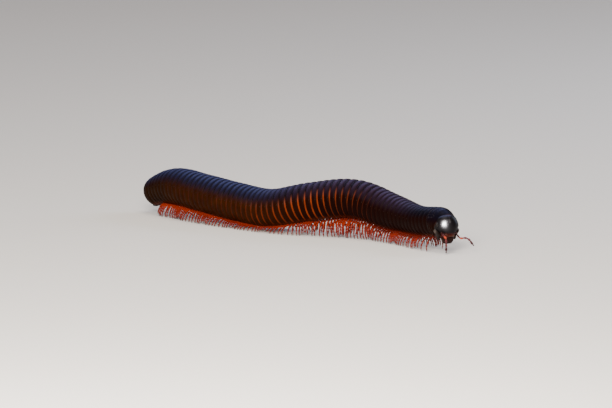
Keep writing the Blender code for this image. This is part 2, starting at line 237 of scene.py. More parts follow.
def skin_over(name, rows, finish=None, hoop=False):
    """Smooth mesh over rows of points, each with a value that its finish reads. Its ends are
    closed, or joined in a hoop. A shape without a finish stays out of the scene."""
    shape = bmesh.new()
    loops = [[shape.verts.new(point) for point, _ in row] for row in rows]
    for loop, following in zip(loops, loops[1:] + (loops[:1] if hoop else [])):
        for index in range(len(loop)):
            after = (index + 1) % len(loop)
            shape.faces.new((loop[index], loop[after], following[after], following[index]))
    if not hoop:
        shape.faces.new(loops[0])
        shape.faces.new(loops[-1])
    bmesh.ops.recalc_face_normals(shape, faces=shape.faces[:])
    mesh = bpy.data.meshes.new(name)
    shape.to_mesh(mesh)
    shape.free()
    layer = mesh.attributes.new("place", 'FLOAT_VECTOR', 'POINT')
    layer.data.foreach_set("vector", [number for row in rows for _, value in row
                                      for number in value])
    mesh.shade_smooth()
    piece = bpy.data.objects.new(name, mesh)
    if finish:
        mesh.materials.append(finish.material)
        studio.link(piece)
    return piece


class Pattern:
    """What a node of a finish gives. A sum with it makes the node that works out the sum."""

    def __init__(self, finish, socket):
        self.finish = finish
        self.socket = socket

    def __add__(self, other):
        return self.finish.math('ADD', self, other)

    def __sub__(self, other):
        return self.finish.math('SUBTRACT', self, other)

    def __mul__(self, other):
        return self.finish.math('MULTIPLY', self, other)

    def __abs__(self):
        return self.finish.math('ABSOLUTE', self)

    def wave(self, rate):
        """Sine of the value times a rate."""
        return self.finish.math('SINE', self * rate)

    def fade(self, start, end):
        """0 at start and 1 at end, with a soft rise between."""
        step = self.finish.node("MapRange", Value=self, From_Min=start, From_Max=end)
        step.interpolation_type = 'SMOOTHSTEP'
        return Pattern(self.finish, step.outputs["Result"])


class Finish:
    """A material that is put together node by node."""

    def __init__(self, name):
        self.material = bpy.data.materials.new(name)
        self.material.use_nodes = True
        self.tree = self.material.node_tree
        self.shader = self.tree.nodes["Principled BSDF"]
        self.space = Pattern(self, self.node("TexCoord").outputs["Object"])

    def feed(self, socket, value):
        """Link a socket to a pattern, or set it where the value is a plain one."""
        if isinstance(value, Pattern):
            self.tree.links.new(value.socket, socket)
        else:
            socket.default_value = (*value, 1.0) if isinstance(value, tuple) else value

    def fill(self, node, values):
        """Feed a node's inputs by name; an underscore stands for a space."""
        for name, value in values.items():
            self.feed(node.inputs[name.replace("_", " ")], value)
        return node

    def node(self, kind, **values):
        """A new node with its inputs fed."""
        return self.fill(self.tree.nodes.new("ShaderNode" + kind), values)

    def body(self, **values):
        """Set the shader's own sockets."""
        self.fill(self.shader, values)

    def math(self, operation, first, second=0.0):
        """One sum."""
        step = self.node("Math")
        step.operation = operation
        self.feed(step.inputs[0], first)
        self.feed(step.inputs[1], second)
        return Pattern(self, step.outputs[0])

    def paint(self, color, *coats):
        """A colour under coats of others, each as dense as its share says."""
        for share, coat in coats:
            step = self.node("Mix")
            step.data_type = 'RGBA'
            self.feed(step.inputs[0], share)
            self.feed(step.inputs[6], color)
            self.feed(step.inputs[7], coat)
            color = Pattern(self, step.outputs[2])
        return color

    def attribute(self, name, output):
        """One of the piece's own attributes."""
        step = self.node("Attribute")
        step.attribute_name = name
        return Pattern(self, step.outputs[output])

    def split(self, vector):
        """The three parts of a vector."""
        return [Pattern(self, part) for part in self.node("SeparateXYZ", Vector=vector).outputs]

    def place(self):
        """The three numbers of each point's value."""
        return self.split(self.attribute("place", "Vector"))

    def noise(self, scale, detail=3.0):
        """Cloudy pattern in the animal's own space; scale is per metre."""
        step = self.node("TexNoise", Vector=self.space, Scale=scale, Detail=detail)
        return Pattern(self, step.outputs[0])

    def pits(self, scale, size):
        """Scattered round pits, 1 between them and 0 in their middle."""
        step = self.node("TexVoronoi", Vector=self.space, Scale=scale)
        return Pattern(self, step.outputs["Distance"]).fade(0.0, size)

    def relief(self, *layers):
        """Bumps on the surface, each a pattern and its height in metres."""
        below = {}
        for pattern, height in layers:
            step = self.node("Bump", Strength=1.0, Distance=height, Height=pattern, **below)
            below = {"Normal": Pattern(self, step.outputs[0])}
        self.body(**below)


joint_skin = Finish("joint_skin")
joint_skin.body(
    Base_Color=joint_skin.paint((0.06, 0.014, 0.005),
                                (joint_skin.noise(900.0), (0.12, 0.035, 0.01))),
    Roughness=0.5, Specular_IOR_Level=0.4)
joint_skin.relief((joint_skin.noise(2600.0, 4.0), 0.00004))

tube = skin_over("joint_skin", [body_row(SKIN_START + step * SKIN_STEP, SKIN_FACTOR, SKIN_SIDES)
                                for step in range(SKIN_ROWS)], joint_skin)
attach(tube, "root")

# Sixty body rings.
# Each is a closed hoop of hard, chalky cuticle. Its narrower front part slides into the hoop
# before it, darkened with painted shade in the crease, and carries an orange bar on the flanks
# with a painted highlight along its middle and top. The wide rear part is black with a painted
# blue sky sheen and painted highlights over the ring crowns on top, over dark red flanks with a
# painted warm reflection towards the tail.
RING_SIDES = 112
# Place along the hoop in millimetres and share of the radius.
RING_PROFILE = (
    (-0.8, 0.885), (-0.8, 0.895), (-0.36, 0.917), (-0.05, 0.935), (0.08, 0.948), (0.2, 0.955),
    (0.34, 0.96), (0.48, 0.962), (0.56, 0.96), (0.61, 0.955), (0.66, 0.962),
    (0.72, 0.975), (0.85, 0.986), (1.05, 0.994), (1.35, 0.999), (1.65, 1.0),
    (1.9, 0.999), (2.05, 0.995), (2.13, 0.99), (2.19, 0.982), (2.21, 0.97),
    (2.17, 0.958), (2.0, 0.95), (1.2, 0.925), (0.2, 0.895),
)
BODY_PARTS = (("front", 0, 18), ("middle", 18, 42), ("rear", 42, 60))
RINGS_PER_NODE = 6
RING_UNEVENNESS = 0.004
FLANK_WARMTH = (0.01, 0.02, 0.06, 0.58, 1.0, 0.72, 0.34, 0.2, 0.14, 0.04)


def placing_tree():
    """Geometry nodes that set one shape on every point, turned and sized as the point says."""
    tree = bpy.data.node_groups.new("set_in_place", 'GeometryNodeTree')
    for name, kind in (("Places", "Geometry"), ("Shape", "Object"), ("Unevenness", "Float"),
                       ("Seed", "Int"), ("Finish", "Material")):
        tree.interface.new_socket(name, in_out='INPUT', socket_type="NodeSocket" + kind)
    tree.interface.new_socket("Plates", in_out='OUTPUT', socket_type='NodeSocketGeometry')
    nodes = tree.nodes
    link = tree.links.new
    given = nodes.new("NodeGroupInput").outputs

    def told(name):
        """Vector that each point brings."""
        step = nodes.new("GeometryNodeInputNamedAttribute")
        step.data_type = 'FLOAT_VECTOR'
        step.inputs["Name"].default_value = name
        return step.outputs["Attribute"]

    def about_one(operation):
        """1 with the unevenness added or taken off."""
        step = nodes.new("ShaderNodeMath")
        step.operation = operation
        step.inputs[0].default_value = 1.0
        link(given["Unevenness"], step.inputs[1])
        return step.outputs[0]

    shape = nodes.new("GeometryNodeObjectInfo")
    link(given["Shape"], shape.inputs["Object"])
    turn = nodes.new("FunctionNodeEulerToRotation")
    link(told("aim"), turn.inputs[0])
    chance = nodes.new("FunctionNodeRandomValue")
    chance.data_type = 'FLOAT'
    least, most = chance.inputs[2:4]
    link(about_one('SUBTRACT'), least)
    link(about_one('ADD'), most)
    link(given["Seed"], chance.inputs["Seed"])
    scaled = nodes.new("ShaderNodeVectorMath")
    scaled.operation = 'SCALE'
    link(told("size"), scaled.inputs[0])
    link(chance.outputs[1], scaled.inputs["Scale"])
    placed = nodes.new("GeometryNodeInstanceOnPoints")
    link(given["Places"], placed.inputs["Points"])
    link(shape.outputs["Geometry"], placed.inputs["Instance"])
    link(turn.outputs[0], placed.inputs["Rotation"])
    link(scaled.outputs[0], placed.inputs["Scale"])
    real = nodes.new("GeometryNodeRealizeInstances")
    link(placed.outputs[0], real.inputs[0])
    coated = nodes.new("GeometryNodeSetMaterial")
    link(real.outputs[0], coated.inputs["Geometry"])
    link(given["Finish"], coated.inputs["Material"])
    link(coated.outputs[0], nodes.new("NodeGroupOutput").inputs[0])
    return tree


PLACING = placing_tree()


def set_in_place(name, shape, places, finish, unevenness=0.0, seed=1):
    """One piece made of a shape set on each place: point, axes, size and a value."""
    points = bpy.data.meshes.new(name)
    points.from_pydata([place[0] for place in places], [], [])
    turned = []
    sizes = []
    for _, axes, size, _ in places:
        turned.extend(Matrix(axes).transposed().to_euler('XYZ'))
        sizes.extend(size)
    points.attributes.new("aim", 'FLOAT_VECTOR', 'POINT').data.foreach_set("vector", turned)
    points.attributes.new("size", 'FLOAT_VECTOR', 'POINT').data.foreach_set("vector", sizes)
    points.attributes.new("order", 'FLOAT', 'POINT').data.foreach_set(
        "value", [place[3] for place in places])
    carrier = bpy.data.objects.new(name, points)
    studio.link(carrier)
    grown = carrier.modifiers.new("set_in_place", 'NODES')
    grown.node_group = PLACING
    given = {"Shape": shape, "Unevenness": unevenness, "Seed": seed, "Finish": finish.material}
    for item in PLACING.interface.items_tree:
        if item.name in given:
            grown[item.identifier] = given[item.name]
    mesh = bpy.data.meshes.new_from_object(
        carrier.evaluated_get(bpy.context.evaluated_depsgraph_get()))
    mesh.name = name
    carrier.modifiers.clear()
    carrier.data = mesh
    bpy.data.meshes.remove(points)
    return carrier


def soft_step(t):
    """Soft rise from 0 to 1 as t rises, level before and after."""
    t = min(max(t, 0.0), 1.0)
    return t * t * (3 - 2 * t)


def flank_warmth(share):
    """How warm the flanks are at a share of the way to the last ring."""
    place = share * (len(FLANK_WARMTH) - 1)
    index = min(int(place), len(FLANK_WARMTH) - 2)
    rise = soft_step(place - index)
    return FLANK_WARMTH[index] * (1 - rise) + FLANK_WARMTH[index + 1] * rise


def trunk_nodes(first, last):
    """Names of the CAD lengths that hold a run of rings."""
    return [f"trunk_{start // RINGS_PER_NODE + 1:02d}"
            for start in range(first, last, RINGS_PER_NODE)]


ring_cuticle = Finish("ring_cuticle")
along, around, _ = ring_cuticle.place()
warmth = ring_cuticle.attribute("order", "Fac")
lengthwise = ring_cuticle.split(ring_cuticle.space)[1]
cloud = ring_cuticle.noise(330.0, 4.0)
flank = (around + cloud * 0.1).fade(0.32, 0.5)
# Painted shade: front marks the front part of each ring, which lies in the crease under the ring
# before; the colour below darkens it there.
front = along.fade(0.66, 0.54)
toward_tail = lengthwise.fade(-0.015, 0.02)
# Painted reflection: the flanks are dark red, and the golden brown laid over them towards the tail
# and on the last rings is a painted reflection of warm ground.
low = ring_cuticle.paint(
    (0.0055, 0.0006, 0.0003), (toward_tail, (0.04, 0.01, 0.0004)),
    (lengthwise.fade(0.048, 0.064), (0.02, 0.007, 0.0007)), (cloud, (0.008, 0.0012, 0.0003)))
# Painted light on the ring tops: top is a painted blue sky sheen, purple towards the head, weaker
# towards the flanks and darker by the neck; the paler band over the crown of each ring is a
# painted highlight.
crest_painted_highlight = ring_cuticle.paint((0.019, 0.0084, 0.0165), (toward_tail, (0.0125, 0.0155, 0.041)))
top = ring_cuticle.paint(
    (0.0118, 0.0048, 0.009), (toward_tail, (0.0062, 0.0066, 0.0175)),
    (along.fade(1.0, 1.4) * along.fade(2.1, 1.9), crest_painted_highlight),
    (around.fade(0.16, 0.34) * 0.7, (0.0095, 0.0052, 0.01)),
    (lengthwise.fade(-0.04, -0.056), (0.0022, 0.0016, 0.0034)))
lower = around - lengthwise.fade(-0.014, 0.006) * 0.09
# Painted highlight: the orange bar on each flank peaks in the middle of the ring's front part and
# fades dark at its edges, and its top turns pink; the orange is the bar's own colour.
orange_bar_painted_highlight = (lower.fade(0.22, 0.42) * (along.fade(-0.02, 0.14) * along.fade(0.68, 0.42)) * warmth
        * (ring_cuticle.noise(240.0, 1.0).fade(0.36, 0.62) * 0.42 + 0.62))
bar_colour_painted_highlight = ring_cuticle.paint((0.21, 0.031, 0.006), (lower.fade(0.44, 0.3), (0.23, 0.056, 0.03)))
ring_cuticle.body(
    Base_Color=ring_cuticle.paint(
        top, (flank, low), (front * 0.8, (0.004, 0.002, 0.002)), (orange_bar_painted_highlight, bar_colour_painted_highlight),
        (along.fade(1.98, 2.2) * 0.4, (0.03, 0.01, 0.006)),
        (around.fade(0.74, 0.88) * 0.7, (0.09, 0.014, 0.003))),
    Roughness=cloud * 0.22 + (flank * 0.08 + 0.27), Specular_IOR_Level=0.03)
ring_cuticle.relief(
    (along.wave(75.0) * front, 0.000012),
    (around.wave(260.0) * around.fade(0.52, 0.66) * along.fade(0.7, 0.95), 0.00002),
    (ring_cuticle.pits(3800.0, 0.35), 0.000012), (ring_cuticle.noise(700.0), 0.00003))

# The hoop has a radius of 1 and lies along Z, with its top towards Y.
hoop = skin_over("hoop", [
    [((factor * math.sin(angle), max(factor * math.cos(angle), -BELLY_FLAT * factor),
       along * MM - RING_PITCH / 2), (along, from_top(angle), 0.0)) for angle in turns(RING_SIDES)]
    for along, factor in RING_PROFILE], hoop=True)
for part, first, last in BODY_PARTS:
    places = []
    for index in range(first, last):
        ring = COLLUM_RINGS + index + 0.5
        point, forward, right, up = body_frame(ring)
        radius = body_radius(ring)
        places.append((point, (right, up, -forward), (radius, radius, 1.0),
                       flank_warmth(index / (RING_COUNT - 1))))
    rings = set_in_place("rings_" + part, hoop, places, ring_cuticle, RING_UNEVENNESS, first)
    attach(rings, "root")
    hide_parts(*trunk_nodes(first, last))
bpy.data.objects.remove(hoop)

# Walking legs.
# Two pairs under each ring from the fourth, one under the first three, each of seven short
# tapering segments: a dark root deepened with painted shade from the belly, glossy orange-red
# shanks turning pinkish lower down, partly a painted highlight, and a dark claw. The upper half
# of the front legs is darkened with painted shade.
PAIR_PLACES = (0.24, 0.7)
SINGLE_PAIR_RINGS = 3
LEGLESS_RINGS = 3
RINGS_PER_WAVE = 6
LEG_HIP_OFFSET = 0.95 * MM
LEG_CHORD = 5.6 * MM
LEG_BOW = 1.4 * MM
LEG_REACH_LEAST = 2.2 * MM
LEG_SPREAD_PAST_SIDE = 0.3 * MM
LEG_KNEES = (0.38, 0.78)
LEG_CLEARANCE = 0.66 * MM
KNEE_HEIGHT_LEAST = 0.4 * MM
CLAW_HEIGHT = 0.05 * MM
SWING = 1.05 * MM
STEP_LIFT = 0.9 * MM
LEG_VARIATION = 0.3 * MM
LEG_SEED = 7
LEG_STEPS = 24
SLIM_LEG_RINGS = 8
SLIM_LEG_WIDTH = 0.9
SEGMENT_ENDS = (0.0, 0.17, 0.33, 0.5, 0.64, 0.78, 0.94, 1.0)
SEGMENT_WIDTHS = (0.76, 0.72, 0.66, 0.6, 0.54, 0.44, 0.24)
SEGMENT_PROFILE = ((-0.03, 0.26), (0.03, 0.37), (0.3, 0.44), (0.72, 0.5), (0.93, 0.49),
                   (1.02, 0.33))
SEGMENT_SIDES = 8


def leg_path(ring, side, swing, lift):
    """Root, two knees and foot of a leg, as the body and the floor set them."""
    point, forward, right, up = body_frame(ring)
    level = Vector((forward.x, forward.y, 0.0)).normalized()
    radius = body_radius(ring)
    hip = point + right * side * LEG_HIP_OFFSET - up * BELLY_FLAT * radius
    reach = math.sqrt(max(LEG_CHORD ** 2 - hip.z ** 2, LEG_REACH_LEAST ** 2))
    reach = min(reach, radius + LEG_SPREAD_PAST_SIDE - LEG_HIP_OFFSET)
    foot = Vector((hip.x, hip.y, lift)) + right * side * reach + level * swing
    bow = (right * side * hip.z + ABOVE * reach) / LEG_CHORD * LEG_BOW
    places = [hip]
    for share in LEG_KNEES:
        place = hip + (foot - hip) * share + bow * math.sin(math.pi * share)
        offset = place - point
        lengthwise = forward * offset.dot(forward)
        square = offset - lengthwise
        if square.length < radius + LEG_CLEARANCE:
            place = point + lengthwise + square.normalized() * (radius + LEG_CLEARANCE)
        place.z = max(place.z, KNEE_HEIGHT_LEAST)
        places.append(place)
    places.append(foot + ABOVE * CLAW_HEIGHT)
    return places


def smooth_path(points, count):
    """Evenly counted points on a smooth curve through a few points."""
    return [smooth_between(points, step / count * (len(points) - 1)) for step in range(count + 1)]


def at_share(path, share):
    """Point of a path at a share of its length."""
    lengths = [(after - before).length for before, after in zip(path, path[1:])]
    left = sum(lengths) * share
    for before, after, length in zip(path, path[1:], lengths):
        if left <= length:
            return before.lerp(after, left / length)
        left -= length
    return path[-1]


def small_shape(name, profile, sides, size=1.0):
    """Round shape along Z, given by heights and radii, to be set in place many times."""
    return skin_over(name, [
        [(Vector((radius * math.cos(angle), radius * math.sin(angle), along)) * size,
          (along, 0.0, 0.0)) for angle in turns(sides)] for along, radius in profile])


def axes_along(aim, beside):
    """Axes of a shape that points along aim, square to a second direction."""
    across = aim.cross(beside).normalized()
    return across, aim.cross(across), aim


leg_cuticle = Finish("leg_cuticle")
along = leg_cuticle.place()[0]
down = leg_cuticle.attribute("order", "Fac") + along * (1 / len(SEGMENT_WIDTHS))
# Painted shade: the upper half of the front legs, towards the head, is darkened.
front_leg_painted_shade = leg_cuticle.split(leg_cuticle.space)[1].fade(-0.018, -0.034)
joint = leg_cuticle.math('MAXIMUM', along.fade(0.16, 0.0), along.fade(0.9, 1.02))
# The dark root is deepened with painted shade from the belly, and the pinkish lower shanks are red
# cuticle partly lightened with a painted highlight.
leg_cuticle.body(
    Base_Color=leg_cuticle.paint(
        (0.09, 0.005, 0.001), (down.fade(0.1, 0.3), (0.28, 0.022, 0.003)),
        (front_leg_painted_shade * down.fade(0.52, 0.36), (0.06, 0.003, 0.001)),
        (down.fade(0.28, 0.6), (0.17, 0.012, 0.006)),
        (down.fade(0.6, 0.82), (0.15, 0.02, 0.016)), (joint * 0.75, (0.12, 0.008, 0.003)),
        (down.fade(0.86, 0.95), (0.03, 0.008, 0.006)),
        (leg_cuticle.noise(1500.0) * 0.35, (0.24, 0.02, 0.004))),
    Roughness=0.3, Coat_Weight=0.12, Coat_Roughness=0.1, Specular_IOR_Level=0.1)
leg_cuticle.relief((leg_cuticle.noise(5200.0), 0.00001))

segment = small_shape("segment", SEGMENT_PROFILE, SEGMENT_SIDES)
draw = random.Random(LEG_SEED)
leg_places = []
for index in range(RING_COUNT - LEGLESS_RINGS):
    shares = (sum(PAIR_PLACES) / 2,) if index < SINGLE_PAIR_RINGS else PAIR_PLACES
    girth = MM * (SLIM_LEG_WIDTH if index < SLIM_LEG_RINGS else 1.0)
    for share in shares:
        ring = COLLUM_RINGS + index + share
        phase = 2 * math.pi * (index % RINGS_PER_WAVE + share) / RINGS_PER_WAVE
        lift = STEP_LIFT * max(0.0, -math.cos(phase)) ** 2
        for side in (-1, 1):
            swing = -SWING * math.sin(phase) + draw.uniform(-LEG_VARIATION, LEG_VARIATION)
            path = smooth_path(leg_path(ring, side, swing, lift), LEG_STEPS)
            ends = [at_share(path, end) for end in SEGMENT_ENDS]
            for number, (start, end) in enumerate(zip(ends, ends[1:])):
                width = SEGMENT_WIDTHS[number] * girth
                leg_places.append((index, (
                    start, axes_along((end - start).normalized(), body_frame(ring)[1]),
                    (width, width, (end - start).length), number / len(SEGMENT_WIDTHS))))
for part, first, last in BODY_PARTS:
    legs = set_in_place("legs_" + part, segment, [place for index, place in leg_places
                                                  if first <= index < last], leg_cuticle)
    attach(legs, "root")
    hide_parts(*trunk_nodes(first, last))
bpy.data.objects.remove(segment)

# Scent pores.
# From the sixth ring on each flank carries the tiny raised mouth of a scent gland, a ringed
# pore just behind the crease of the ring.
PORE_ANGLE = math.radians(80.0)
PORE_PROFILE = ((-0.06, 0.17), (0.015, 0.17), (0.045, 0.13), (0.045, 0.09), (0.01, 0.06),
                (-0.02, 0.05))
PORE_SIDES = 10
PORE_AHEAD = 0.22 * MM
PORE_SEAT = 0.994
FIRST_PORE_RING = 5

pore_finish = Finish("pore_rim")
pore_finish.body(
    Base_Color=pore_finish.paint((0.008, 0.004, 0.003),
                                 (pore_finish.noise(3000.0), (0.024, 0.009, 0.005))),
    Roughness=0.5, Specular_IOR_Level=0.1)
pore_finish.relief((pore_finish.noise(6000.0), 0.00001))
pore = small_shape("pore", PORE_PROFILE, PORE_SIDES, MM)
places = []
for index in range(FIRST_PORE_RING, RING_COUNT - 1):
    ring = COLLUM_RINGS + index + 0.5
    point, forward, right, up = body_frame(ring)
    for side in (-1, 1):
        out = right * side * math.sin(PORE_ANGLE) + up * math.cos(PORE_ANGLE)
        places.append((point + out * body_radius(ring) * PORE_SEAT + forward * PORE_AHEAD,
                       (forward, out.cross(forward), out), (1.0, 1.0, 1.0), 0.0))
pores = set_in_place("scent_pores", pore, places, pore_finish, unevenness=0.12, seed=5)
bpy.data.objects.remove(pore)
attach(pores, "root")

# Collum.
# The first ring is a plain saddle behind the head, a polished black shield with a fine
# raised rim round its front edge. Its hood reaches forward over the hinge of the head.
# A paler line along the rim is a painted highlight, and pale specks on its upper flanks are
# painted glints.
COLLUM_SIDES = 96
COLLUM_ROWS = ((1.4, 0.9), (0.6, 0.9), (0.2, 0.87), (0.06, 0.85), (0.0, 0.845),
               (-0.03, 0.855), (-0.03, 0.875), (0.0, 0.89), (0.05, 0.9), (0.1, 0.902),
               (0.15, 0.906), (0.24, 0.918), (0.38, 0.938), (0.55, 0.958), (0.75, 0.976),
               (0.95, 0.99), (1.15, 0.998), (1.32, 1.0), (1.42, 0.996), (1.5, 0.985),
               (1.51, 0.965), (1.48, 0.95))
COLLUM_TAPER = 0.55
TAPER_FROM = 0.45
TAPER_END = 1.3
HOOD_REACH = 1.05
HOOD_DROP = 0.36
HOOD_END = 0.9
HOOD_SIDES = (0.26, 0.62)

collum_finish = Finish("collum_cuticle")
along, around, _ = collum_finish.place()
# Painted glints: pale specks scattered over the upper flanks of the shield, away from its front
# edge.
painted_glints = (around.fade(0.42, 0.34) * collum_finish.noise(2600.0, 1.5).fade(0.58, 0.72)
        * around.fade(0.09, 0.15) * along.fade(0.45, 0.75))
# Painted highlight: a paler line along the front rim.
collum_finish.body(
    Base_Color=collum_finish.paint(
        (0.003, 0.0022, 0.0055), (around.fade(0.3, 0.6), (0.008, 0.0016, 0.0005)),
        (along.fade(0.12, 0.0), (0.022, 0.01, 0.008)),
        (along.fade(1.4, 1.5), (0.018, 0.007, 0.004)), (painted_glints, (0.05, 0.042, 0.047))),
    Roughness=collum_finish.noise(330.0, 4.0) * 0.55, Specular_IOR_Level=0.02)
collum_finish.relief(
    (along.wave(17.0) * along.fade(0.25, 0.5), 0.00004),
    (collum_finish.pits(3600.0, 0.35), 0.00001), (collum_finish.noise(700.0), 0.00003))
rows = []
for along, factor in COLLUM_ROWS:
    row = []
    for angle in turns(COLLUM_SIDES):
        around = from_top(angle)
        recede = COLLUM_TAPER * max(0.0, around - TAPER_FROM) ** 1.5 * max(
            0.0, 1.0 - along / TAPER_END)
        side = (around - HOOD_SIDES[0]) / (HOOD_SIDES[1] - HOOD_SIDES[0])
        hood = (1 - soft_step(side)) * max(0.0, 1.0 - along / HOOD_END)
        row.append((body_spot(along + recede - HOOD_REACH * hood,
                              factor - HOOD_DROP * hood ** 1.7, angle), (along, around, 0.0)))
    rows.append(row)
collum = skin_over("collum_shield", rows, collum_finish)
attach(collum, "root")
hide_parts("collum")

# Head capsule.
# A smooth black dome, bowed and turned a little to the animal's right, with a shallow groove
# down its brow, a socket for each feeler, and a dark red lower edge.
HEAD_TURN = math.radians(21.0)
HEAD_MIDDLE = 0.9
HEAD_HEIGHT = 9.2 * MM
# Height, half width and depth in millimetres.
CAPSULE_ROWS = ((3.2, 0.02, 0.02), (3.15, 1.0, 1.0), (2.8, 2.2, 1.9), (2.0, 3.2, 2.75),
                (0.8, 3.8, 3.2), (-0.6, 4.05, 3.45), (-1.7, 3.85, 3.45), (-2.5, 3.4, 3.3),
                (-3.0, 3.0, 3.05), (-3.4, 2.78, 2.85), (-3.8, 2.55, 2.6), (-3.84, 1.6, 1.6))
HEAD_SIDES = 80
HEAD_STEPS = 60
SOCKETS = ((2.5, 2.95, -2.45), (-2.5, 2.95, -2.45))
SOCKET_REACH = 0.62
SOCKET_DEPTH = 0.22
AHEAD = Vector((-math.sin(HEAD_TURN), -math.cos(HEAD_TURN), 0.0))
TO_RIGHT = AHEAD.cross(ABOVE)


def head_point(across, forward, up):
    """Point given in millimetres in the frame of the head."""
    return (Vector((*NECK, HEAD_HEIGHT + up * MM)) + TO_RIGHT * across * MM
            + AHEAD * forward * MM)


def round_head(angle, width, depth, height):
    """Place round the head at an angle from straight ahead, in millimetres in its frame."""
    return width * math.sin(angle), HEAD_MIDDLE + depth * math.cos(angle), height


def capsule_row(share):
    """Height, half width and depth of the capsule at a share from crown to lip."""
    return smooth_between([Vector(row) for row in CAPSULE_ROWS], share * (len(CAPSULE_ROWS) - 1))


head_cuticle = Finish("head_cuticle")
across, _, height = head_cuticle.place()
cloud = head_cuticle.noise(420.0, 4.0)
brow = abs(across).fade(0.1, 0.0) * height.fade(0.4, 1.6)
head_cuticle.body(
    Base_Color=head_cuticle.paint(
        (0.002, 0.0016, 0.003), (cloud, (0.0045, 0.0028, 0.003)),
        ((height + cloud * 0.3).fade(-2.15, -2.85), (0.04, 0.005, 0.002)),
        (brow * 0.7, (0.03, 0.01, 0.008))),
    Roughness=cloud * 0.12 + 0.26, Coat_Weight=0.09, Coat_Roughness=0.16,
    Specular_IOR_Level=0.045)
head_cuticle.relief((brow * -1.0, 0.00006), (head_cuticle.pits(4200.0, 0.3), 0.000008),
                    (head_cuticle.noise(900.0), 0.00002))
rows = []
for step in range(HEAD_STEPS + 1):
    height, half_width, depth = capsule_row(step / HEAD_STEPS)
    row = []
    for angle in turns(HEAD_SIDES):
        spot = round_head(angle, half_width, depth, height)
        sunk = sum(SOCKET_DEPTH * math.exp(-(math.dist(spot, socket) / SOCKET_REACH) ** 2)
                   for socket in SOCKETS)
        scale = 1 - sunk / max(math.hypot(half_width, 0.3), 0.5)
        row.append((head_point(*round_head(angle, half_width * scale, depth * scale, height)),
                    spot))
    rows.append(row)
capsule = skin_over("head_capsule", rows, head_cuticle)
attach(capsule, "root")
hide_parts("head")
LIT_BY["gleam"].objects.link(capsule)

# Upper lip.
# The labrum closes the head capsule below: a narrow dark red plate with a shallow notch and
# three blunt teeth in its middle, and a fringe of short brown bristles on its face.
LIP_COUNT = 44
LIP_HALF_ANGLE = 52.0
# Reach and height in millimetres, and 1 where the notch is cut.
LIP_SECTION = ((2.76, -2.85, 0), (3.04, -2.92, 0), (3.13, -3.15, 0), (3.04, -3.55, 0),
               (2.8, -4.0, 1), (2.58, -3.94, 1), (2.5, -3.4, 0))
LIP_MIDDLE = 2.6
LIP_WIDTH = 0.97
LIP_THINNEST = 0.25
NOTCH_DEPTH, NOTCH_ANGLE = 0.22, 13.0
TOOTH_LENGTH, TOOTH_ANGLE = 0.13, 1.8
LIP_TEETH = (-6.0, 0.0, 6.0)
BRISTLE_COUNT = 26
BRISTLE_HALF_ANGLE = 40.0
BRISTLE_PROFILE = ((0.0, 0.5), (0.6, 0.35), (1.0, 0.08))
BRISTLE_SIDES = 4
# Half width, depth and height in millimetres at the roots and the tips, and how uneven they are.
BRISTLE_ENDS = ((2.95, 3.05, -3.25, 0.08), (3.1, 3.35, -3.75, 0.1))
BRISTLE_WIDTH = 0.05 * MM
BRISTLE_SEED = 31

lip_cuticle = Finish("lip_cuticle")
height = lip_cuticle.place()[2]
lip_cuticle.body(
    Base_Color=lip_cuticle.paint(
        (0.024, 0.002, 0.001), (lip_cuticle.noise(1200.0), (0.048, 0.006, 0.002)),
        (height.fade(-3.85, -4.15), (0.03, 0.008, 0.006))),
    Roughness=0.3, Coat_Weight=0.03, Coat_Roughness=0.12, Specular_IOR_Level=0.1)
lip_cuticle.relief((lip_cuticle.noise(2500.0), 0.00002))
rows = []
for count in range(LIP_COUNT + 1):
    degrees = -LIP_HALF_ANGLE + 2 * LIP_HALF_ANGLE * count / LIP_COUNT
    angle = math.radians(degrees)
    notch = NOTCH_DEPTH * math.exp(-(degrees / NOTCH_ANGLE) ** 2)
    notch -= sum(TOOTH_LENGTH * math.exp(-((degrees - tooth) / TOOTH_ANGLE) ** 2)
                 for tooth in LIP_TEETH)
    thin = LIP_THINNEST + (1 - LIP_THINNEST) * math.sqrt(
        max(0.0, 1 - (degrees / LIP_HALF_ANGLE) ** 4))
    row = []
    for reach, height, cut in LIP_SECTION:
        reach = LIP_MIDDLE + (reach - LIP_MIDDLE) * thin
        height += cut * notch
        row.append((head_point(*round_head(angle, reach * LIP_WIDTH, reach, height)),
                    (0.0, 0.0, height)))
    rows.append(row)
upper_lip = skin_over("upper_lip", rows, lip_cuticle)
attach(upper_lip, "root")

bristle_finish = Finish("bristle")
bristle_finish.body(
    Base_Color=bristle_finish.paint((0.06, 0.022, 0.008),
                                    (bristle_finish.noise(3000.0), (0.12, 0.05, 0.02))),
    Roughness=0.4)
bristle_finish.relief((bristle_finish.noise(5000.0), 0.000005))
bristle = small_shape("bristle", BRISTLE_PROFILE, BRISTLE_SIDES)
draw = random.Random(BRISTLE_SEED)
places = []
for count in range(BRISTLE_COUNT):
    angle = math.radians(BRISTLE_HALF_ANGLE * (2 * count / (BRISTLE_COUNT - 1) - 1)
                         + draw.uniform(-1, 1))
    root, tip = (head_point(*round_head(angle, width, depth,
                                        height + draw.uniform(-uneven, uneven)))
                 for width, depth, height, uneven in BRISTLE_ENDS)
    places.append((root, axes_along((tip - root).normalized(), ABOVE),
                   (BRISTLE_WIDTH, BRISTLE_WIDTH, (tip - root).length), 0.0))
fringe = set_in_place("lip_bristles", bristle, places, bristle_finish, unevenness=0.1, seed=3)
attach(fringe, "root")

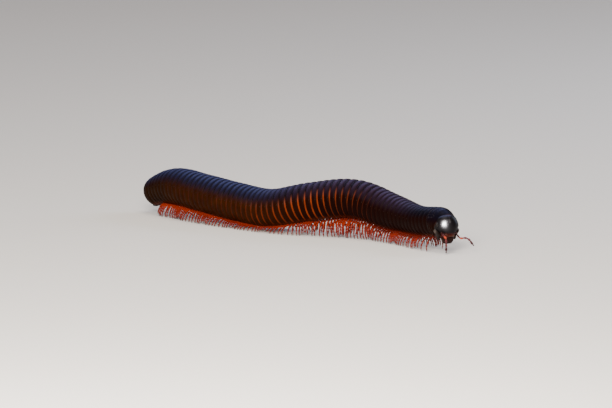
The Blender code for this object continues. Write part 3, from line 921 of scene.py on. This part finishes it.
# Eyes.
# Behind each feeler lies a small oval field of beadlike lenses in close rows, glossy black,
# seated in the side of the head capsule.
EYE_ANGLE = 68.0
EYE_HALF = (0.62, 0.84)
EYE_ARC_RADIUS = 3.9
EYE_SIDES = (("eye_lenses_right", "eye_right", 1), ("eye_lenses_left", "eye_left", -1))
LENS_SPACING = 0.2
LENS_ROW_SPACING = 0.87 * LENS_SPACING
LENS_RADIUS = 0.115 * MM
LENS_PROFILE = ((-0.6, 0.9), (0.0, 1.0), (0.42, 0.82), (0.68, 0.45), (0.74, 0.12))
LENS_SIDES = 8
LENS_PROUD = 0.02
LENS_ROWS, LENS_COLUMNS = 5, 4
SEAT_STEPS = 24


def lens_seat(degrees, height):
    """Seat of a lens on the capsule, at an angle from straight ahead, and the way out of it."""
    low, high = 0.0, 1.0
    for _ in range(SEAT_STEPS):
        share = (low + high) / 2
        if capsule_row(share)[0] > height:
            low = share
        else:
            high = share
    _, half_width, depth = capsule_row(share)
    angle = math.radians(degrees)
    spot = head_point(*round_head(angle, half_width + LENS_PROUD, depth + LENS_PROUD, height))
    out = TO_RIGHT * math.sin(angle) / half_width + AHEAD * math.cos(angle) / depth
    return spot, out.normalized()


eye_cuticle = Finish("eye_cuticle")
cloud = eye_cuticle.noise(2500.0)
eye_cuticle.body(
    Base_Color=eye_cuticle.paint((0.004, 0.004, 0.005), (cloud, (0.02, 0.014, 0.012))),
    Roughness=0.25, Coat_Weight=0.1, Coat_Roughness=0.1, Specular_IOR_Level=0.2)
eye_cuticle.relief((cloud, 0.000006))
lens = small_shape("lens", LENS_PROFILE, LENS_SIDES, LENS_RADIUS)
for name, node, side in EYE_SIDES:
    places = []
    for row in range(-LENS_ROWS, LENS_ROWS + 1):
        for column in range(-LENS_COLUMNS, LENS_COLUMNS + 1):
            over = (column + (row % 2) / 2) * LENS_SPACING
            rise = row * LENS_ROW_SPACING
            if math.hypot(over / EYE_HALF[0], rise / EYE_HALF[1]) > 1:
                continue
            spot, out = lens_seat(side * (EYE_ANGLE + math.degrees(over / EYE_ARC_RADIUS)), rise)
            places.append((spot, axes_along(out, ABOVE), (1.0, 1.0, 1.0), 0.0))
    lenses = set_in_place(name, lens, places, eye_cuticle, unevenness=0.05, seed=11)
    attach(lenses, "root")
    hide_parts(node)
bpy.data.objects.remove(lens)

# Feelers.
# A feeler is a chain of seven slender segments, each swollen towards its far end, dark red with
# one bright orange-red segment and finely haired, with a dark blunt tip that feels the ground.
FEELERS = (
    ("feeler_right", "antenna_right", ((2.35, 2.6, -2.3), (2.6, 4.3, -3.0), (2.15, 5.35, -3.9),
                                       (2.0, 5.5, -5.5), (2.0, 5.5, -7.3), (2.0, 5.4, -8.8))),
    ("feeler_left", "antenna_left", ((-2.35, 2.6, -2.3), (-3.5, 3.9, -4.3), (-5.1, 4.6, -4.3),
                                     (-6.2, 5.2, -4.9), (-7.0, 5.6, -6.1), (-7.6, 5.9, -6.9))),
)
FEELER_ENDS = (0.0, 0.1, 0.27, 0.43, 0.58, 0.73, 0.9, 0.97)
FEELER_WIDTHS = (0.38, 0.35, 0.35, 0.35, 0.37, 0.38, 0.22)
FEELER_PROFILE = ((0.0, 0.66), (0.06, 0.5), (0.15, 0.58), (0.4, 0.8), (0.7, 0.98),
                  (0.86, 1.0), (0.95, 0.84))
FEELER_TIP = ((0.975, 0.15), (0.985, 0.1), (0.99, 0.03))
FEELER_SIDES = 18
FEELER_STEPS = 60
HAIR_COUNT = 110
HAIR_SPAN = (0.28, 0.95)
HAIR_ROOT = 0.24 * MM
HAIR_SIZE = (0.025 * MM, 0.025 * MM, 0.2 * MM)
HAIR_LEAN = 0.8
HAIR_SEED = 12


def tube_rows(stations, sides):
    """Round outlines at points with a radius and a value each, without a twist."""
    rows = []
    across = Vector((0.3, 0.9, 0.1))
    for index, (point, radius, value) in enumerate(stations):
        after = stations[min(index + 1, len(stations) - 1)][0]
        along = (after - stations[max(index - 1, 0)][0]).normalized()
        across = (across - along * across.dot(along)).normalized()
        other = along.cross(across)
        rows.append([(point + (across * math.cos(angle) + other * math.sin(angle)) * radius,
                      value) for angle in turns(sides)])
    return rows


feeler_cuticle = Finish("feeler_cuticle")
down, along, _ = feeler_cuticle.place()
feeler_cuticle.body(
    Base_Color=feeler_cuticle.paint(
        (0.075, 0.01, 0.014), (feeler_cuticle.noise(1600.0), (0.14, 0.028, 0.034)),
        (down.fade(0.27, 0.35) * down.fade(0.5, 0.42), (0.4, 0.045, 0.016)),
        (down.fade(0.32, 0.2), (0.022, 0.003, 0.002)),
        (along.fade(0.3, 0.06), (0.03, 0.004, 0.005)),
        (down.fade(0.66, 0.88), (0.04, 0.009, 0.01))),
    Roughness=0.32, Coat_Weight=0.03, Coat_Roughness=0.2, Specular_IOR_Level=0.15)
feeler_cuticle.relief((feeler_cuticle.noise(6000.0), 0.00001))
draw = random.Random(HAIR_SEED)
hairs = []
for name, node, bends in FEELERS:
    path = smooth_path([head_point(*bend) for bend in bends], FEELER_STEPS)
    stations = []
    for start, end, width in zip(FEELER_ENDS, FEELER_ENDS[1:], FEELER_WIDTHS):
        for along, factor in FEELER_PROFILE:
            share = start + (end - start) * along
            stations.append((at_share(path, share), width * factor * MM, (share, along, 0.0)))
    stations += [(at_share(path, share), radius * MM, (share, 0.9, 0.0))
                 for share, radius in FEELER_TIP]
    feeler = skin_over(name, tube_rows(stations, FEELER_SIDES), feeler_cuticle)
    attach(feeler, "root")
    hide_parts(node)
    for _ in range(HAIR_COUNT):
        share = draw.uniform(*HAIR_SPAN)
        root = at_share(path, share)
        along = (at_share(path, share + 0.02) - root).normalized()
        side = along.cross(Vector((draw.uniform(-1, 1), draw.uniform(-1, 1),
                                   draw.uniform(-1, 1)))).normalized()
        lean = (side + along * HAIR_LEAN).normalized()
        hairs.append((root + side * HAIR_ROOT, axes_along(lean, side), HAIR_SIZE, 0.0))
coat = set_in_place("feeler_hairs", bristle, hairs, bristle_finish, unevenness=0.2, seed=4)
bpy.data.objects.remove(bristle)
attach(coat, "root")

# Mandible bases and chin plate.
# Each cheek is a hinged plate of the jaw, dark, with a pale painted glint on its upper outer
# edge, and the mouth is closed from below by a flat chin plate of fused lobes with grooves
# between them.
CHEEK_SIDES = (("cheek_right", "mandible_right", 1), ("cheek_left", "mandible_left", -1))
# Height and thickness in millimetres, and the angles of the two edges.
CHEEK_ROWS = ((-1.5, 0.35, 74.0, 92.0), (-2.2, 0.7, 62.0, 98.0), (-3.1, 0.8, 57.0, 100.0),
              (-4.2, 0.75, 66.0, 98.0), (-5.0, 0.55, 72.0, 92.0))
# Height, left, right, back and front in millimetres.
CHIN_ROWS = ((-3.8, -2.25, 2.25, 0.9, 3.45), (-5.2, -1.9, 1.9, 0.9, 3.2),
             (-6.2, -1.3, 1.3, 1.1, 2.5))
CHIN_GROOVE = 0.85
MOUTH_SIDES = 32
MOUTH_STEPS = 24
MOUTH_FULLNESS = 0.7
MOUTH_END_SIZE = 0.55
MOUTH_END_SHARE = 0.125
CHEEK_PROUD = 0.02


def capsule_size(height):
    """Half width and depth of the capsule, or of its lower edge below it."""
    for upper, lower in zip(CAPSULE_ROWS[1:-1], CAPSULE_ROWS[2:-1]):
        if upper[0] >= height >= lower[0]:
            share = (upper[0] - height) / (upper[0] - lower[0])
            return [a + (b - a) * share for a, b in zip(upper[1:], lower[1:])]
    return CAPSULE_ROWS[-2][1:]


def rounded(value):
    """Share of a rounded outline that is fuller than a circle."""
    return math.copysign(abs(value) ** MOUTH_FULLNESS, value)


def mouth_rows(rows, place):
    """Rounded outlines of a mouth part, each point set by a function of its row."""
    outlines = []
    for step in range(MOUTH_STEPS + 1):
        spot = step / MOUTH_STEPS * (len(rows) - 1)
        index = min(int(spot), len(rows) - 2)
        row = [a + (b - a) * (spot - index) for a, b in zip(rows[index], rows[index + 1])]
        edge = min(step, MOUTH_STEPS - step) / MOUTH_STEPS
        shrink = MOUTH_END_SIZE + (1 - MOUTH_END_SIZE) * min(1.0, edge / MOUTH_END_SHARE) ** 0.5
        spots = [place(row, rounded(math.cos(angle)) * shrink, rounded(math.sin(angle)) * shrink)
                 for angle in turns(MOUTH_SIDES)]
        outlines.append([(head_point(*spot), spot) for spot in spots])
    return outlines


def cheek_spot(side):
    """Rule that lays a plate on the side of the capsule."""
    def spot(row, over, out):
        height, thickness, first, last = row
        half_width, depth = capsule_size(height)
        proud = CHEEK_PROUD + thickness * (0.5 + 0.5 * out)
        angle = math.radians((first + last) / 2 + (last - first) / 2 * over)
        return round_head(angle, side * (half_width + proud), depth + proud, height)
    return spot


def chin_spot(row, over, out):
    """Rule that lays the chin plate level under the mouth."""
    height, left, right, back, front = row
    return ((left + right) / 2 + (right - left) / 2 * over,
            (back + front) / 2 + (front - back) / 2 * out, height)


cheek_finish = Finish("cheek_cuticle_painted_glint")
across, _, height = cheek_finish.place()
# Painted glint: a pale patch on the upper outer edge of each cheek.
cheek_finish.body(
    Base_Color=cheek_finish.paint(
        (0.004, 0.002, 0.0015), (cheek_finish.noise(1100.0), (0.01, 0.003, 0.002)),
        (height.fade(-3.2, -2.3) * abs(across).fade(3.85, 4.15), (0.06, 0.048, 0.042))),
    Roughness=0.32, Coat_Weight=0.03, Coat_Roughness=0.15, Specular_IOR_Level=0.1)
cheek_finish.relief((cheek_finish.noise(2600.0), 0.00002))
for name, node, side in CHEEK_SIDES:
    cheek = skin_over(name, mouth_rows(CHEEK_ROWS, cheek_spot(side)), cheek_finish)
    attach(cheek, "root")
    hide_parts(node)

chin_finish = Finish("chin_cuticle")
across = abs(chin_finish.place()[0])
seam = chin_finish.math('MINIMUM', across, abs(across - CHIN_GROOVE)).fade(0.09, 0.0)
chin_finish.body(
    Base_Color=chin_finish.paint(
        (0.008, 0.002, 0.001), (chin_finish.noise(900.0), (0.02, 0.005, 0.002)),
        (seam, (0.005, 0.002, 0.002))),
    Roughness=0.35, Coat_Weight=0.02, Coat_Roughness=0.2, Specular_IOR_Level=0.08)
chin_finish.relief((seam * -1.0, 0.00006), (chin_finish.noise(2600.0), 0.00002))
chin = skin_over("chin_plate", mouth_rows(CHIN_ROWS, chin_spot), chin_finish)
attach(chin, "root")
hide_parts("gnathochilarium")

# Tail.
# The last ring has no legs. Behind it two polished valves, with a raised lip where they meet,
# close the gut like a pair of eyelids, over a small scale.
TELSON_ROWS = ((0.7, 0.78), (0.0, 0.86), (-0.04, 0.9), (0.02, 0.94), (0.1, 0.955),
               (0.18, 0.975), (0.3, 0.985), (0.42, 0.98), (0.55, 0.965), (0.68, 0.94),
               (0.76, 0.915), (0.8, 0.89), (0.79, 0.865), (0.72, 0.84))
TELSON_SIDES = 96
TELSON_LAST = 0.75
TELSON_SLANT = 0.3 * MM
VALVE_PAIR = (("gut_valve_right", "anal_valve_right", 1),
              ("gut_valve_left", "anal_valve_left", -1))
VALVE_DEPTH = 2.1 * MM
VALVE_BASE = 0.84
VALVE_SIDES = 40
VALVE_ROWS = 20
VALVE_GAP = 0.04 * MM
VALVE_LIP = 0.16 * MM
VALVE_LIP_WIDTH = 0.45 * MM
SCALE_START = 0.1 * MM
SCALE_LENGTH = 0.9 * MM
SCALE_HALF_ANGLE = 22.0
SCALE_STEPS = 8
SCALE_FACES = ((0.55 * MM, 0.12 * MM, 1), (0.05 * MM, 0.0, -1))

tail_cuticle = Finish("tail_cuticle")
cloud = tail_cuticle.noise(360.0, 4.0)
around = tail_cuticle.place()[1]
tail_cuticle.body(
    Base_Color=tail_cuticle.paint((0.006, 0.004, 0.008), (cloud, (0.014, 0.005, 0.004)),
                                  (around.fade(0.3, 0.6), (0.014, 0.004, 0.001))),
    Roughness=cloud * 0.6, Coat_Weight=0.01, Coat_Roughness=0.14, Specular_IOR_Level=0.05)
tail_cuticle.relief((tail_cuticle.pits(3400.0, 0.35), 0.000012),
                    (tail_cuticle.noise(700.0), 0.00003))
telson = skin_over("last_ring", [
    body_row(TRUNK_END + offset, factor, TELSON_SIDES,
             TELSON_SLANT * max(0.0, min(1.0, offset / TELSON_LAST)))
    for offset, factor in TELSON_ROWS], tail_cuticle)
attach(telson, "root")
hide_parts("telson")

point, forward, right, up = body_frame(TRUNK_END + TELSON_LAST)
valve_radius = body_radius(TRUNK_END + TELSON_LAST) * VALVE_BASE
for name, node, side in VALVE_PAIR:
    rows = []
    for step in range(VALVE_ROWS + 1):
        share = step / VALVE_ROWS
        radius = valve_radius * math.sqrt(max(1 - share ** 2, 0.01))
        row = []
        for index in range(VALVE_SIDES + 1):
            angle = math.pi * index / VALVE_SIDES
            across = VALVE_GAP + radius * math.sin(angle)
            lip = VALVE_LIP * math.exp(-(across / VALVE_LIP_WIDTH) ** 2)
            back = (VALVE_DEPTH * share + lip * math.sqrt(share)
                    + TELSON_SLANT * (1 + math.cos(angle)) / 2)
            row.append((point + right * side * across + up * radius * math.cos(angle)
                        - forward * back, (share, index / VALVE_SIDES, 0.0)))
        rows.append(row)
    valve = skin_over(name, rows, tail_cuticle)
    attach(valve, "root")
    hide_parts(node)

rows = []
for step in range(SCALE_STEPS + 1):
    share = step / SCALE_STEPS
    width = SCALE_HALF_ANGLE * math.sqrt(max(0.05, 1 - share ** 2.2))
    row = []
    for above, fall, way in SCALE_FACES:
        radius = valve_radius + above - fall * share
        for number in range(-SCALE_STEPS, SCALE_STEPS + 1):
            angle = math.radians(width * way * number / SCALE_STEPS)
            row.append((point + right * radius * math.sin(angle) - up * radius * math.cos(angle)
                        - forward * (SCALE_START + SCALE_LENGTH * share), (share, 0.9, 0.0)))
    rows.append(row)
scale_plate = skin_over("gut_scale", rows, tail_cuticle)
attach(scale_plate, "root")
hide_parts("subanal_scale")
